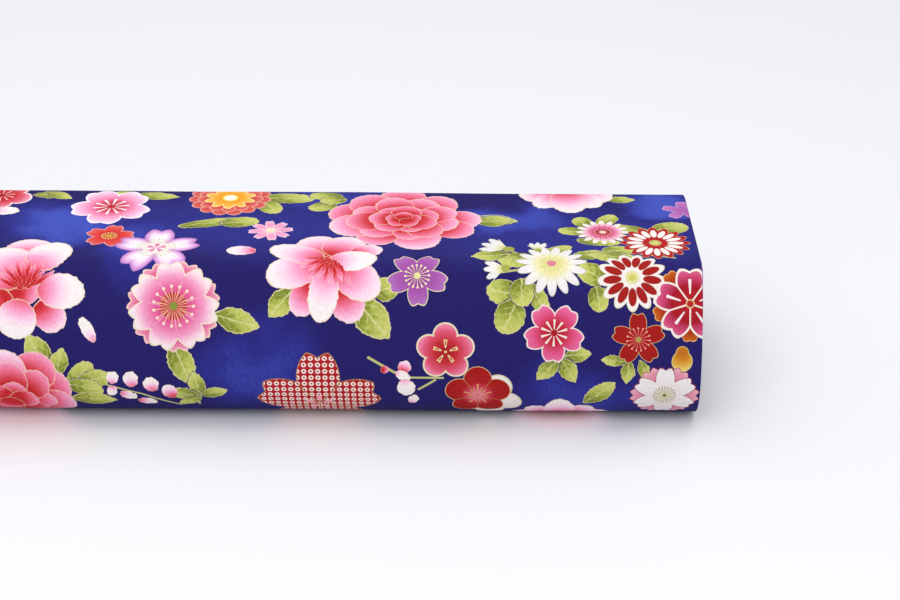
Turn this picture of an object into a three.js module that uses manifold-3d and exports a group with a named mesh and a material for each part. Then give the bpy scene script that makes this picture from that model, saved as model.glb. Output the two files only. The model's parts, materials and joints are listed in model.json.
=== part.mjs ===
// A bolt of printed quilting cotton, wound flat on a folded corrugated core. Millimetres, +Z up.
// +X runs along the bolt towards the fold of the doubled cloth, the selvages are at -X, -Y is the front and
// the cut end of the cloth hangs down the back at +Y. The origin is the middle of the face it lies on.
import * as THREE from "three";
import { mergeVertices } from "three/addons/utils/BufferGeometryUtils.js";
import Module from "manifold-3d";

const wasm = await Module();
wasm.setup();

const bolt = {
  length: 560, // the cloth's width, doubled once
  depth: 132,
  height: 84,
};

// The wound section: a flat top, a tight upper corner, a sagging side and a rounder lower corner.
const section = {
  topCorner: 11,
  bottomCorner: 28.5,
  cornerTurn: 40, // degrees above level where the upper corner meets the side
  cornerSteps: 8,
  sideSteps: 12,
};

const turn = {
  pitch: 1, // one doubled turn and the air in it
  air: 0.3,
  lap: 12, // the cut end runs this far past the start of the last turn
  settle: 30, // over this length the last turn climbs one pitch
  cutHeight: 50, // of the start of the last turn, up the back
};

const core = {
  inset: 4, // of its ends from the cloth's
  width: 66,
  thickness: 20,
  clearance: 0.8, // round the core, inside the first turn
  seamGap: 0.6,
};

const board = { liner: 0.35, flute: 1.9, fluteWall: 0.3, flutePitch: 6.5, waveSteps: 8, glueLine: 0.1 };
board.thickness = 2 * board.liner + board.flute + 2 * board.glueLine;

const plug = { depth: 36, sheet: 2.6, clearance: 0.3 };
const spacer = { sheet: 1.8, width: 48, folds: 4, endGap: 1.5, clearance: 0.3 };
const tape = { thickness: 0.3, width: 40, lift: 0.2, startCount: 3, startReach: 34, seamInset: 26 };
const label = { width: 46, height: 9.6, thickness: 0.25, lift: 0.15 };

const pin = {
  count: 3,
  sides: 10,
  ballSteps: 8,
  spacing: 190,
  shaftRadius: 0.35,
  length: 36,
  point: 5,
  headRadius: 2,
  seat: 2.2, // how far the shaft goes into the head
  seatAir: 0.12,
  tilt: 7, // degrees between the pin and the cloth
  shown: 20, // from the end of the shaft to where it goes through the cloth
  hole: 0.65,
  grooveHalf: 0.75,
  aboveCut: 9, // up from the start of the last turn
};

const radians = THREE.MathUtils.degToRad;

function material(color, roughness, metalness = 0) {
  return new THREE.MeshStandardMaterial({ color, roughness, metalness });
}

const finish = {
  cloth: material(0x24248c, 0.85),
  kraft: material(0xb08a5c, 0.9),
  paper: material(0xf3efe6, 0.7),
  tape: material(0xd8c79a, 0.5),
  steel: material(0xc9ccd0, 0.3, 1),
  pearl: material(0xf4f1e8, 0.15),
};

// One named solid. Its geometry is already in the bolt's frame unless a pose says otherwise.
function piece(name, geometry, look, pose) {
  const mesh = new THREE.Mesh(geometry, look);
  mesh.name = name;
  if (pose) mesh.applyMatrix4(pose);
  return mesh;
}

// Extrudes an outline drawn as (y, z) along X, between two stations.
function alongX(shape, from, to) {
  const geometry = new THREE.ExtrudeGeometry(shape, { depth: to - from, bevelEnabled: false, steps: 1 });
  geometry.applyMatrix4(new THREE.Matrix4().set(0, 0, 1, from, 1, 0, 0, 0, 0, 1, 0, 0, 0, 0, 0, 1));
  return geometry;
}

// Stations along an arc whose outward normal turns from one angle to the other, in degrees above +Y.
function arc(centre, radius, fromAngle, toAngle, count) {
  const stations = [];
  for (let i = 0; i <= count; i += 1) {
    const angle = radians(THREE.MathUtils.lerp(fromAngle, toAngle, i / count));
    const normal = new THREE.Vector2(Math.cos(angle), Math.sin(angle));
    stations.push({ at: normal.clone().multiplyScalar(radius).add(centre), normal });
  }
  return stations;
}

// The bolt's outer section, clockwise seen from +X, from the back of the top flat round to the same place.
// The front mirrors the back.
function sectionStations() {
  const { topCorner, bottomCorner, cornerTurn } = section;
  const share = Math.sin(radians(cornerTurn));
  const side = (bolt.height - bottomCorner - topCorner * (1 - share)) / share;
  const widest = bolt.depth / 2;
  const sideCentre = new THREE.Vector2(widest - side, bottomCorner);
  const turnPoint = new THREE.Vector2(Math.cos(radians(cornerTurn)), share);
  const topCentre = turnPoint.clone().multiplyScalar(side - topCorner).add(sideCentre);
  const bottomCentre = new THREE.Vector2(widest - bottomCorner, bottomCorner);
  const back = [
    ...arc(topCentre, topCorner, 90, cornerTurn, section.cornerSteps),
    ...arc(sideCentre, side, cornerTurn, 0, section.sideSteps).slice(1),
    ...arc(bottomCentre, bottomCorner, 0, -90, section.sideSteps).slice(1),
  ];
  const front = back
    .map(({ at, normal }) => ({
      at: new THREE.Vector2(-at.x, at.y),
      normal: new THREE.Vector2(-normal.x, normal.y),
    }))
    .reverse();
  return [...back, ...front];
}

// The section as a closed path that can be read at any distance along it.
class Wind {
  constructor(stations) {
    this.stations = [...stations, stations[0]];
    this.reach = [0];
    for (let i = 1; i < this.stations.length; i += 1) {
      this.reach.push(this.reach[i - 1] + this.stations[i].at.distanceTo(this.stations[i - 1].at));
    }
    this.length = this.reach.at(-1);
  }

  read(distance) {
    const wrapped = THREE.MathUtils.euclideanModulo(distance, this.length);
    const next = Math.max(1, this.reach.findIndex((r) => r >= wrapped - 1e-9));
    const share = (wrapped - this.reach[next - 1]) / (this.reach[next] - this.reach[next - 1]);
    const [a, b] = [this.stations[next - 1], this.stations[next]];
    return {
      at: a.at.clone().lerp(b.at, share),
      normal: a.normal.clone().lerp(b.normal, share).normalize(),
    };
  }

  // The distance down the back at which the path passes a height.
  backHeight(height) {
    const i = this.stations.findIndex((s) => s.at.y <= height);
    const [a, b] = [this.stations[i - 1], this.stations[i]];
    const share = (a.at.y - height) / (a.at.y - b.at.y);
    return THREE.MathUtils.lerp(this.reach[i - 1], this.reach[i], share);
  }

  // The distances to draw between two places: both ends and every station between them.
  between(from, to) {
    const laps = [0, 1, 2].flatMap((lap) => this.reach.slice(0, -1).map((r) => r + lap * this.length));
    const clear = turn.air; // of the two ends, so that no edge is a sliver
    return [from, ...laps.filter((r) => r > from + clear && r < to - clear), to];
  }
}

const wind = new Wind(sectionStations());
const turnStart = wind.backHeight(turn.cutHeight);
const tailStart = wind.length + wind.reach[section.cornerSteps]; // one lap on, below the back's upper corner
const tailEnd = wind.length + turnStart + turn.lap;

// How far the outside of the last turn lies inside the finished section, this far on from its start.
function sunk(past) {
  if (past < turn.lap) return turn.pitch;
  const climb = THREE.MathUtils.smoothstep(past, turn.lap, turn.lap + turn.settle);
  return turn.pitch * (1 - climb);
}

function offsetPoint(distance, inwards) {
  const { at, normal } = wind.read(distance);
  return at.addScaledVector(normal, -inwards);
}

// A strip of the last turn between two distances, as one closed outline.
function stripShape(from, to, sink) {
  const distances = wind.between(from, to);
  const outside = distances.map((d) => offsetPoint(d, sink(d)));
  const inside = distances.map((d) => offsetPoint(d, sink(d) + turn.pitch - turn.air));
  return new THREE.Shape([...outside, ...inside.reverse()]);
}

function rectangle(width, height, middle, grow = 0) {
  const [y, z] = [width / 2 + grow, height / 2 + grow];
  return [
    new THREE.Vector2(-y, middle - z),
    new THREE.Vector2(y, middle - z),
    new THREE.Vector2(y, middle + z),
    new THREE.Vector2(-y, middle + z),
  ];
}

const boltEnd = bolt.length / 2;
const coreEnd = boltEnd - core.inset;
const coreMiddle = bolt.height / 2;

function solid(geometry) {
  const bare = geometry.index ? geometry.toNonIndexed() : geometry.clone();
  bare.deleteAttribute("normal");
  bare.deleteAttribute("uv");
  const merged = mergeVertices(bare, 1e-4);
  const mesh = new wasm.Mesh({
    numProp: 3,
    vertProperties: merged.attributes.position.array,
    triVerts: new Uint32Array(merged.index.array),
  });
  return new wasm.Manifold(mesh);
}

function geometryOf(manifold) {
  const mesh = manifold.getMesh();
  return new THREE.BufferGeometry()
    .setAttribute("position", new THREE.BufferAttribute(mesh.vertProperties, 3))
    .setIndex(new THREE.BufferAttribute(mesh.triVerts, 1));
}

function cut(geometry, cutters) {
  const left = cutters.reduce((rest, cutter) => rest.subtract(solid(cutter)), solid(geometry));
  return geometryOf(left);
}

// Each pin points along +X and slightly inwards, from its head outside the tail to its point under it.
const pinCrossing = wind.read(wind.length + turnStart - pin.aboveCut);
const pinStations = Array.from({ length: pin.count }, (_, i) => (i - (pin.count - 1) / 2) * pin.spacing);

// The pin's own frame: +X is its direction, +Y its outward side, and the origin is the end of its shaft.
function pinPose(station) {
  const { at, normal } = pinCrossing;
  const outward = new THREE.Vector3(0, normal.x, normal.y);
  const lengthwise = new THREE.Vector3(1, 0, 0);
  const [turned, level] = [Math.sin(radians(pin.tilt)), Math.cos(radians(pin.tilt))];
  const direction = lengthwise.clone().multiplyScalar(level).addScaledVector(outward, -turned);
  const side = outward.clone().multiplyScalar(level).addScaledVector(lengthwise, turned);
  const start = new THREE.Vector3(station, at.x, at.y).addScaledVector(direction, -pin.shown);
  return new THREE.Matrix4()
    .makeBasis(direction, side, direction.clone().cross(side))
    .setPosition(start);
}

// Turns a lathe, which stands along Y, to lie along +X.
function lathe(profile, sides) {
  const points = profile.map(([r, y]) => new THREE.Vector2(r, y));
  return new THREE.LatheGeometry(points, sides).applyMatrix4(new THREE.Matrix4().makeRotationZ(-Math.PI / 2));
}

function pinShaft() {
  const r = pin.shaftRadius;
  return lathe([[0, -pin.seat], [r, -pin.seat], [r, pin.length - pin.point], [0, pin.length]], pin.sides);
}

// A pearl-white bead with a blind hole for the shaft.
function pinHead() {
  const hole = pin.shaftRadius + pin.seatAir;
  const centre = -pin.headRadius;
  const mouth = Math.asin(hole / pin.headRadius);
  const ball = Array.from({ length: pin.ballSteps + 1 }, (_, i) => {
    const angle = THREE.MathUtils.lerp(0, Math.PI - mouth, i / pin.ballSteps);
    return [pin.headRadius * Math.sin(angle), centre - pin.headRadius * Math.cos(angle)];
  });
  const bottom = -pin.seat - pin.seatAir;
  return lathe([...ball, [hole, bottom], [0, bottom]], 2 * pin.ballSteps);
}

// The hole that a pin makes in the tail, and the open groove that its point lies in under the tail.
function pinHole(station) {
  const length = 1.5 * pin.length; // past the point, and so right through the tail
  return new THREE.CylinderGeometry(pin.hole, pin.hole, length, pin.sides)
    .rotateZ(Math.PI / 2)
    .translate(length / 2 - pin.shown, 0, 0)
    .applyMatrix4(pinPose(station));
}

function pinGroove(station) {
  const [length, reach] = [pin.length + 2 * turn.pitch, 4 * pin.headRadius];
  return new THREE.BoxGeometry(length, reach, 2 * pin.grooveHalf)
    .translate(length / 2 - turn.pitch, reach / 2 - pin.grooveHalf, 0)
    .applyMatrix4(pinPose(station));
}

// All the turns but the last one. The outline steps in by a pitch where the last turn starts.
function innerTurns() {
  const distances = wind.between(turnStart, turnStart + wind.length);
  const outline = distances.map((d) => offsetPoint(d, turn.pitch + sunk(d - turnStart)));
  outline[outline.length - 1] = offsetPoint(turnStart + wind.length, turn.pitch);
  const shape = new THREE.Shape(outline);
  shape.holes.push(new THREE.Path(rectangle(core.width, core.thickness, coreMiddle, core.clearance)));
  return cut(alongX(shape, -boltEnd, boltEnd), pinStations.map(pinGroove));
}

function outerTurn() {
  const shape = stripShape(turnStart + turn.air, tailStart - turn.air, (d) => sunk(d - turnStart));
  return alongX(shape, -boltEnd, boltEnd);
}

function tail() {
  const shape = stripShape(tailStart, tailEnd, () => 0);
  return cut(alongX(shape, -boltEnd, boltEnd), pinStations.map(pinHole));
}

// A sheet that runs round the core between two depths below its outside, open at the seam in the +Y side.
function coreSheet(outer, inner) {
  const [w, t] = [core.width / 2, core.thickness / 2];
  const gap = core.seamGap / 2;
  const ring = (depth) => [
    new THREE.Vector2(w - depth, coreMiddle + gap),
    new THREE.Vector2(w - depth, coreMiddle + t - depth),
    new THREE.Vector2(-w + depth, coreMiddle + t - depth),
    new THREE.Vector2(-w + depth, coreMiddle - t + depth),
    new THREE.Vector2(w - depth, coreMiddle - t + depth),
    new THREE.Vector2(w - depth, coreMiddle - gap),
  ];
  return alongX(new THREE.Shape([...ring(outer), ...ring(inner).reverse()]), -coreEnd, coreEnd);
}

// The fluted sheet between the two liners. Its waves run along each face and die out at the creases.
function coreFluting() {
  const depth = board.liner + board.glueLine + board.flute / 2;
  const [w, t] = [core.width / 2 - depth, core.thickness / 2 - depth];
  const gap = core.seamGap / 2;
  const corners = [[w, gap], [w, t], [-w, t], [-w, -t], [w, -t], [w, -gap]];
  const swing = (board.flute - board.fluteWall) / 2;
  const [outside, inside] = [[], []];
  corners.slice(1).forEach((corner, i) => {
    const from = new THREE.Vector2(...corners[i]);
    const to = new THREE.Vector2(...corner);
    const along = to.clone().sub(from);
    const outward = new THREE.Vector2(along.y, -along.x).normalize();
    const waves = Math.max(1, Math.round(along.length() / board.flutePitch));
    const steps = waves * board.waveSteps;
    for (let k = i ? 1 : 0; k <= steps; k += 1) {
      const middle = from.clone().addScaledVector(along, k / steps);
      const phase = (2 * Math.PI * waves * k) / steps;
      const rise = swing * Math.sin(phase);
      const slope = (2 * Math.PI * waves * swing * Math.cos(phase)) / along.length();
      const crease = k === steps && i < corners.length - 2;
      const forward = along.clone().normalize();
      const normal = outward.clone().addScaledVector(forward, -slope).normalize();
      if (crease) normal.set(Math.sign(corner[0]), Math.sign(corner[1]));
      const centre = middle.addScaledVector(outward, crease ? 0 : rise).add(new THREE.Vector2(0, coreMiddle));
      outside.push(centre.clone().addScaledVector(normal, board.fluteWall / 2));
      inside.push(centre.clone().addScaledVector(normal, -board.fluteWall / 2));
    }
  });
  return alongX(new THREE.Shape([...outside, ...inside.reverse()]), -coreEnd, coreEnd);
}

const hollow = {
  width: core.width - 2 * board.thickness,
  height: core.thickness - 2 * board.thickness,
};

// A strip folded to a U: its back closes the core's end and its two legs lie along the side walls.
function endPlug(side) {
  const half = hollow.width / 2 - plug.clearance;
  const high = hollow.height / 2 - plug.clearance;
  const [face, deep] = [coreEnd, coreEnd - plug.depth];
  const outline = [
    [face, -half],
    [face, half],
    [deep, half],
    [deep, half - plug.sheet],
    [face - plug.sheet, half - plug.sheet],
    [face - plug.sheet, plug.sheet - half],
    [deep, plug.sheet - half],
    [deep, -half],
  ];
  const shape = new THREE.Shape(outline.map(([x, y]) => new THREE.Vector2(x, y)));
  const geometry = new THREE.ExtrudeGeometry(shape, { depth: 2 * high, bevelEnabled: false });
  geometry.translate(0, 0, coreMiddle - high);
  return side > 0 ? geometry : geometry.rotateZ(Math.PI);
}

// A strip folded to and fro that keeps the two faces of the core apart.
function coreSpacer() {
  const rise = hollow.height / 2 - spacer.clearance;
  const run = spacer.width / spacer.folds;
  const slant = Math.hypot(run, 2 * rise - spacer.sheet) / run;
  const thick = spacer.sheet * slant;
  const height = (i) => (i % 2 ? rise : thick - rise);
  const upper = Array.from(
    { length: spacer.folds + 1 },
    (_, i) => new THREE.Vector2(i * run - spacer.width / 2, coreMiddle + height(i)),
  );
  const lower = upper.map((p) => new THREE.Vector2(p.x, p.y - thick)).reverse();
  const end = coreEnd - plug.sheet - spacer.endGap;
  return alongX(new THREE.Shape([...lower, ...upper]), -end, end);
}

function box(from, to) {
  const size = new THREE.Vector3().subVectors(to, from);
  const middle = new THREE.Vector3().addVectors(from, to).multiplyScalar(0.5);
  return new THREE.BoxGeometry(size.x, size.y, size.z).translate(middle.x, middle.y, middle.z);
}

// The tape that holds the start of the cloth to the top of the core.
function startTape(index) {
  const low = coreMiddle + core.thickness / 2 + tape.lift;
  const middle = (index - (tape.startCount - 1) / 2) * pin.spacing;
  return box(
    new THREE.Vector3(middle - tape.width / 2, -tape.startReach / 2, low),
    new THREE.Vector3(middle + tape.width / 2, tape.startReach / 2, low + tape.thickness),
  );
}

// The gummed tape that closes the core's seam.
function seamTape() {
  const side = core.width / 2 + tape.lift;
  const half = core.thickness / 2 - board.thickness;
  const end = coreEnd - tape.seamInset;
  return box(
    new THREE.Vector3(-end, side, coreMiddle - half),
    new THREE.Vector3(end, side + tape.thickness, coreMiddle + half),
  );
}

function endLabel() {
  const face = -coreEnd - label.lift;
  return box(
    new THREE.Vector3(face - label.thickness, -label.width / 2, coreMiddle - label.height / 2),
    new THREE.Vector3(face, label.width / 2, coreMiddle + label.height / 2),
  );
}

const model = new THREE.Group();
model.add(
  piece("cloth_inner_turns", innerTurns(), finish.cloth),
  piece("cloth_outer_turn", outerTurn(), finish.cloth),
  piece("cloth_tail", tail(), finish.cloth),
  piece("core_outer_liner", coreSheet(0, board.liner), finish.kraft),
  piece("core_fluting", coreFluting(), finish.kraft),
  piece("core_inner_liner", coreSheet(board.thickness - board.liner, board.thickness), finish.kraft),
  piece("core_spacer", coreSpacer(), finish.kraft),
  piece("core_seam_tape", seamTape(), finish.tape),
  piece("end_plug_left", endPlug(-1), finish.kraft),
  piece("end_plug_right", endPlug(1), finish.kraft),
  piece("end_label", endLabel(), finish.paper),
);
for (let i = 0; i < tape.startCount; i += 1) {
  model.add(piece(`start_tape_${i + 1}`, startTape(i), finish.tape));
}
pinStations.forEach((station, i) => {
  model.add(piece(`pin_shaft_${i + 1}`, pinShaft(), finish.steel, pinPose(station)));
  model.add(piece(`pin_head_${i + 1}`, pinHead(), finish.pearl, pinPose(station)));
});

export default model;
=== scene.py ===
import json
import math
import random

import bmesh
import bpy
from mathutils import Matrix, Vector, noise


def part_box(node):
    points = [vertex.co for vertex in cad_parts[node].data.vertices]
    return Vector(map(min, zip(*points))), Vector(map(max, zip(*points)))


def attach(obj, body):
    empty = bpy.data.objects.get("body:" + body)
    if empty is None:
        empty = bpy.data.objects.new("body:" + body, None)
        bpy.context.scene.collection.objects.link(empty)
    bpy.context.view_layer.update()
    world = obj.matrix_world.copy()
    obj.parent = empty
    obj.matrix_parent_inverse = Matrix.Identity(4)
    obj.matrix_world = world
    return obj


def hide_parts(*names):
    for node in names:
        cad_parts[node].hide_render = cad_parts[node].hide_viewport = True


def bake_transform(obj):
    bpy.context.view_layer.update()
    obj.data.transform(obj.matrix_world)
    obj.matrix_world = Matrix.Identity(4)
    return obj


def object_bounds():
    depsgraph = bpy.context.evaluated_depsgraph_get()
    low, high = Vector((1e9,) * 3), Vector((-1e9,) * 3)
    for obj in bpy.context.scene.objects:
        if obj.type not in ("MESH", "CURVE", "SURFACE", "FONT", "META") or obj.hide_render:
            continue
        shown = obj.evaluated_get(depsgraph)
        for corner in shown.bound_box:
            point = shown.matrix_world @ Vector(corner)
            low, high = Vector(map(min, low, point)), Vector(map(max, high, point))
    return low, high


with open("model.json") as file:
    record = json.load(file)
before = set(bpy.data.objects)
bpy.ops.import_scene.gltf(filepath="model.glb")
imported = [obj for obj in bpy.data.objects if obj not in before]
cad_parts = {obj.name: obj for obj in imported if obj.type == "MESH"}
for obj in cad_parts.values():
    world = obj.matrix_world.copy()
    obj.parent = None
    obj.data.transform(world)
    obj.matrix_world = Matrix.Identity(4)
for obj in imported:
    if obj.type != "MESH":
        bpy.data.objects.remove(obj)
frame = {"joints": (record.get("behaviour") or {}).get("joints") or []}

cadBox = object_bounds()
mm = 0.001


def hexColour(code):
    parts = [int(code[i:i + 2], 16) / 255 for i in (0, 2, 4)]
    return tuple(c / 12.92 if c <= 0.04045 else ((c + 0.055) / 1.055) ** 2.4 for c in parts)


def newMaterial(name):
    made = bpy.data.materials.new(name)
    made.use_nodes = True
    made.node_tree.nodes.clear()
    return made


class Ink:

    def __init__(self, tree):
        self.tree = tree

    def put(self, kind, *feeds, out=0, **settings):
        node = self.tree.nodes.new("ShaderNode" + kind)
        for key, value in settings.items():
            setattr(node, key, value)
        for socket, feed in zip(node.inputs, feeds):
            if isinstance(feed, bpy.types.NodeSocket):
                self.tree.links.new(feed, socket)
            elif feed is not None:
                socket.default_value = feed
        return node.outputs[out]

    def num(self, operation, *feeds):
        return self.put("Math", *feeds, operation=operation)

    def vec(self, operation, *feeds):
        measures = operation in ("LENGTH", "DISTANCE", "DOT_PRODUCT")
        if operation == "SCALE":
            feeds = (feeds[0], None, None, feeds[1])
        return self.put("VectorMath", *feeds, operation=operation, out=1 if measures else 0)

    def mix(self, share, under, over):
        pair = [c if isinstance(c, bpy.types.NodeSocket) else (*c, 1) for c in (under, over)]
        return self.put("Mix", share, *[None] * 5, *pair, data_type="RGBA", out=2)

    def pick(self, share, under, over):
        return self.put("Mix", share, *[None] * 3, under, over, data_type="VECTOR", out=1)

    def ramp(self, value, stops):
        socket = self.put("ValToRGB", value)
        band = socket.node.color_ramp
        while len(band.elements) < len(stops):
            band.elements.new(0.5)
        for element, (where, code) in zip(band.elements, stops):
            element.position = where
            element.color = (*hexColour(code), 1)
        return socket

    def span(self, value, low, high, start=0.0, stop=1.0):
        return self.put("MapRange", value, low, high, start, stop)

    def part(self, vector, axis):
        return self.vec("DOT_PRODUCT", vector, [float(axis == i) for i in range(3)])

    def noise(self, size, stretch=(1, 1, 1), shift=0.0, detail=2.0):
        # noise on the cloth, its grain this many millimetres
        mark = self.put("UVMap", uv_map="cloth")
        spread = self.put("Mapping", mark, (shift, 0, 0), None, [1000 / size / f for f in stretch])
        return self.put("TexNoise", spread, None, 1.0, detail)

    def finish(self, colour, roughness=0.8, bump=None, depth=0.0001, **shader):
        node = self.tree.nodes.new("ShaderNodeBsdfPrincipled")
        for key, value in (("Base Color", colour), ("Roughness", roughness)):
            if isinstance(value, bpy.types.NodeSocket):
                self.tree.links.new(value, node.inputs[key])
            else:
                node.inputs[key].default_value = value if key == "Roughness" else (*value, 1)
        for key, value in shader.items():
            node.inputs[key.replace("_", " ")].default_value = value
        if bump is not None:
            made = self.tree.nodes.new("ShaderNodeBump")
            made.inputs["Distance"].default_value = depth
            self.tree.links.new(bump, made.inputs["Height"])
            self.tree.links.new(made.outputs[0], node.inputs["Normal"])
        sheet = self.tree.nodes.new("ShaderNodeOutputMaterial")
        self.tree.links.new(node.outputs[0], sheet.inputs[0])


def stencil(name, paint, detail, carries="NodeSocketColor"):
    # a node group that paints its motif over what lies under it
    group = bpy.data.node_groups.new(name, "ShaderNodeTree")
    group.interface.new_socket("cloth", in_out="INPUT", socket_type="NodeSocketVector")
    group.interface.new_socket("under", in_out="INPUT", socket_type=carries)
    group.interface.new_socket("result", in_out="OUTPUT", socket_type=carries)
    ink = Ink(group)
    start = group.nodes.new("NodeGroupInput")
    result = paint(ink, start.outputs[0], start.outputs[1], detail)
    end = group.nodes.new("NodeGroupOutput")
    group.links.new(result, end.inputs[0])
    return group


view = dict(place=(0.1534, -0.8937, 0.5090), tilt=27.65, turn=0.03, roll=0.43, lens=76.3)


def addCamera():
    cam = bpy.data.cameras.new("camera")
    cam.lens = view["lens"]
    cam.clip_start = 0.01
    shot = bpy.data.objects.new("camera", cam)
    bpy.context.collection.objects.link(shot)
    aim = Matrix.Rotation(math.radians(-view["turn"]), 3, "Z")
    aim = aim @ Matrix.Rotation(math.radians(90 - view["tilt"]), 3, "X")
    aim = aim @ Matrix.Rotation(math.radians(view["roll"]), 3, "Z")
    shot.matrix_world = Matrix.Translation(view["place"]) @ aim.to_4x4()
    bpy.context.scene.camera = shot


def addSoftbox(name, place, target, size, watts):
    lamp = bpy.data.lights.new(name, "AREA")
    lamp.shape = "RECTANGLE"
    lamp.size, lamp.size_y = size
    lamp.energy = watts
    box = bpy.data.objects.new(name, lamp)
    bpy.context.collection.objects.link(box)
    aim = (Vector(target) - Vector(place)).to_track_quat("-Z", "Y").to_matrix().to_4x4()
    box.matrix_world = Matrix.Translation(place) @ aim


def addStudio():
    addCamera()
    world = bpy.data.worlds.new("studio")
    world.use_nodes = True
    world.node_tree.nodes["Background"].inputs[0].default_value = (0.95, 0.97, 1.0, 1)
    world.node_tree.nodes["Background"].inputs[1].default_value = 0.72
    bpy.context.scene.world = world
    addSoftbox("top light", (0.1, 0.25, 1.5), (0.1, 0, 0), (1.8, 1.4), 9)
    addSoftbox("front light", (-0.2, -1.3, 1.5), (0.1, 0, 0), (1.8, 1.2), 17)
    bpy.context.scene.view_settings.view_transform = "Standard"
    bm = bmesh.new()
    bmesh.ops.create_grid(bm, x_segments=1, y_segments=1, size=6)
    mesh = bpy.data.meshes.new("floor")
    bm.to_mesh(mesh)
    floor = bpy.data.objects.new("floor", mesh)
    bpy.context.collection.objects.link(floor)
    paper = newMaterial("studio paper")
    Ink(paper.node_tree).finish(hexColour("e6e6e9"), 0.7)
    mesh.materials.append(paper)


addStudio()
print("studio ready")

winding = dict(
    turns=52,             # of doubled cloth round the core
    foldRadius=0.26 * mm,
    foldSteps=6,
    thickness=0.22 * mm,
    # thinner than the cloth is, so that less of its wrong side shows where the lifted tail bends,
    # though some still does
    tailThickness=0.12 * mm,
    topCorner=11 * mm,
    bottomCorner=28.5 * mm,
    cornerTurn=40,        # degrees above level where the upper corner meets the side
    selvage=8 * mm,       # unprinted strip along both edges of the cloth
    coreCorner=1.5 * mm,
    coreAir=0.5 * mm,
    startHeight=50 * mm,  # of the start of the last turn, up the back
    endHeight=38.5 * mm,  # of the cut end
    foldWander=0.7 * mm,
    lowLean=1.6 * mm,     # the last turn's fold stands this much further out at the bottom
)
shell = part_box("cloth_outer_turn")
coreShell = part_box("core_outer_liner")
boltEnd = shell[1][0]
halfDepth = -shell[0][1]
boltHeight = shell[1][2]


def arcStations(centre, radius, start, stop, count):
    angles = [math.radians(start + (stop - start) * i / count) for i in range(count + 1)]
    return [Vector((centre[0] + radius * math.cos(a), centre[1] + radius * math.sin(a))) for a in angles]


def lineStations(a, b, count):
    return [a.lerp(b, i / count) for i in range(count + 1)]


def loopStations(fine):
    # pairs of an outer and a core point, from the back of the top flat down the back and round the front
    w = winding
    share = math.sin(math.radians(w["cornerTurn"]))
    side = (boltHeight - w["bottomCorner"] - w["topCorner"] * (1 - share)) / share
    sideCentre = Vector((halfDepth - side, w["bottomCorner"]))
    reach = side - w["topCorner"]
    topCentre = sideCentre + Vector((math.cos(math.radians(w["cornerTurn"])), share)) * reach
    bottomCentre = Vector((halfDepth - w["bottomCorner"], w["bottomCorner"]))
    corner, flank, low, flat = (8, 16, 16, 26) if fine else (5, 6, 7, 3)
    coreHalf = coreShell[1][1] + w["coreAir"]
    coreHigh = coreShell[1][2] + w["coreAir"]
    coreLow = coreShell[0][2] - w["coreAir"]
    r = w["coreCorner"]
    outer = arcStations(topCentre, w["topCorner"], 90, w["cornerTurn"], corner)
    outer += arcStations(sideCentre, side, w["cornerTurn"], 0, flank)[1:]
    outer += arcStations(bottomCentre, w["bottomCorner"], 0, -90, low)[1:]
    core = arcStations((coreHalf - r, coreHigh - r), r, 90, 0, corner)
    core += lineStations(Vector((coreHalf, coreHigh - r)), Vector((coreHalf, coreLow + r)), flank)[1:]
    core += arcStations((coreHalf - r, coreLow + r), r, 0, -90, low)[1:]
    half = list(zip(outer, core))
    flip = [(Vector((-o.x, o.y)), Vector((-c.x, c.y))) for o, c in reversed(half)]

    def across(a, b):
        return list(zip(lineStations(a[0], b[0], flat), lineStations(a[1], b[1], flat)))[1:-1]

    return half + across(half[-1], flip[0]) + flip + across(flip[-1], half[0])


def unevenness(x, loopShare):
    # how far the soft winding stands proud of its true shape
    a = loopShare * math.tau
    point = Vector((x * 9, math.cos(a) * 1.1 + 3, math.sin(a) * 1.1))
    return 0.45 * mm * max(0, 0.5 + noise.noise(point) + 0.35 * noise.noise(point * 2.7))


def stepAtHeight(loop, height):
    return next(i for i, (outer, core) in enumerate(loop) if outer.y <= height)


def foldPlace(step, count, lean):
    # where the fold, or the selvages, of this turn lie along X
    turn = step / count
    drift = noise.noise(Vector((math.cos(turn * math.tau) * 0.8, math.sin(turn * math.tau) * 0.8,
                                turn * 1.7)))
    return winding["foldWander"] * (drift - 0.4 + 0.5 * noise.noise(Vector((turn * 0.9, 5, 2)))) + lean


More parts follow.
